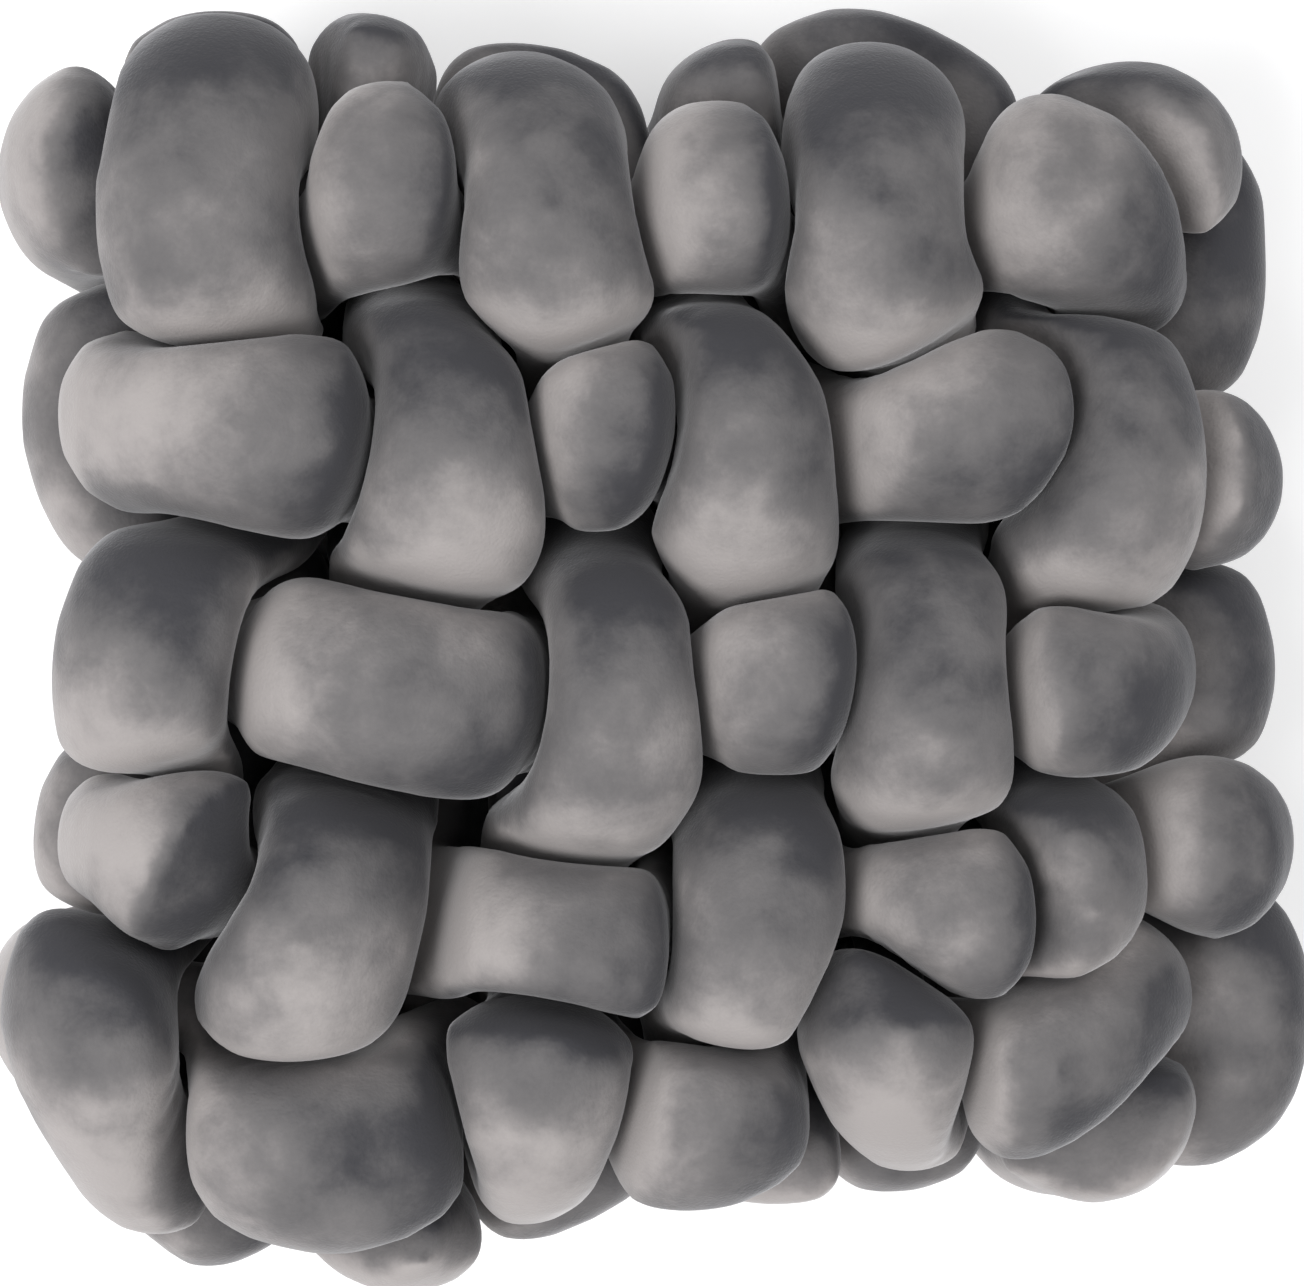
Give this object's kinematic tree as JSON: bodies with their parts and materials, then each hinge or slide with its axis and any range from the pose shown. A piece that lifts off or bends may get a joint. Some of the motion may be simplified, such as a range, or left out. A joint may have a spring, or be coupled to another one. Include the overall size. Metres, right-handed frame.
{
  "type": "woven tube cushion",
  "caption": "Thick square cushion woven from stuffed grey velvet tubes that pass over and under each other on its front, back and rim.",
  "frame": {"origin": "centre of the bounding box's bottom, on the surface that the cushion's back lies on", "axes": "+Z out of the front face, +X towards the front's right side, +Y towards its top side"},
  "size_m": [0.383, 0.3668, 0.1637],
  "materials": {
    "velvet": "brushed grey velvet with a soft nap"
  },
  "bodies": {
    "root": {"column_tube_1": "velvet", "column_tube_2": "velvet", "column_tube_3": "velvet", "column_tube_4": "velvet", "column_tube_5": "velvet", "column_tube_6": "velvet", "row_tube_1": "velvet", "row_tube_2": "velvet", "row_tube_3": "velvet", "row_tube_4": "velvet", "row_tube_5": "velvet", "edge_tube": "velvet"}
  },
  "joints": []
}
